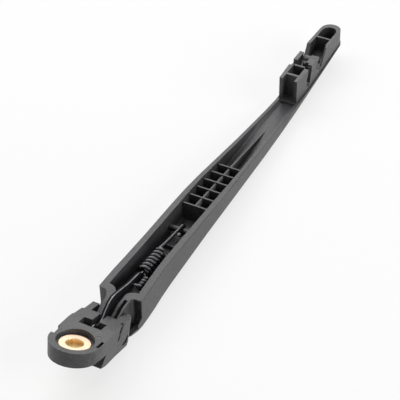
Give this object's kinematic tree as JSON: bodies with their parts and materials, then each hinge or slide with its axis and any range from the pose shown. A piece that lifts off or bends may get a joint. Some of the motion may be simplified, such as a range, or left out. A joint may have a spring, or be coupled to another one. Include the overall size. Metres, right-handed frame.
{
  "type": "rear wiper arm",
  "caption": "Rear wiper arm seen from its underside: a channel arm that folds on a pivot head with a serrated brass bush, a tension spring and a clip for the blade.",
  "frame": {"origin": "middle of the bush's straight bore, on its axis", "axes": "+X along the arm to the blade end, +Y across to the left, +Z out of the underside, which faces up here; the bore's axis leans 18.5 degrees from +Z towards +X"},
  "size_m": [0.3179, 0.0262, 0.0313],
  "materials": {
    "arm_plastic": "matte moulded",
    "clip_plastic": "matte moulded",
    "head_plastic": "matte moulded",
    "brass": "turned",
    "dark_steel": "dark coated"
  },
  "bodies": {
    "arm": {"arm_channel": "arm_plastic", "blade_clip": "clip_plastic", "spring_anchor": "dark_steel", "tension_spring": "dark_steel"},
    "head": {"pivot_head": "head_plastic", "spindle_bush": "brass", "hinge_pin_left": "dark_steel", "hinge_pin_right": "dark_steel", "link_pin": "dark_steel"},
    "link": {"spring_link": "dark_steel"}
  },
  "joints": [
    {"name": "head_fold", "type": "hinge", "parent": "arm", "child": "head", "pos_m": [0.02518, 0, -0.00985], "axis": [0, -1, 0], "range_deg": [0, 60], "stiffness_Nm_per_rad": 0.3, "springref_deg": -28.65, "deforming": ["tension_spring"]},
    {"name": "link_swing", "type": "hinge", "parent": "head", "child": "link", "pos_m": [0.01693, 0, -0.00139], "axis": [0, -1, 0], "range_deg": [-55, 0]}
  ],
  "couplings": [
    {"joint": "link_swing", "follows": "head_fold", "ratio": -0.882}
  ]
}
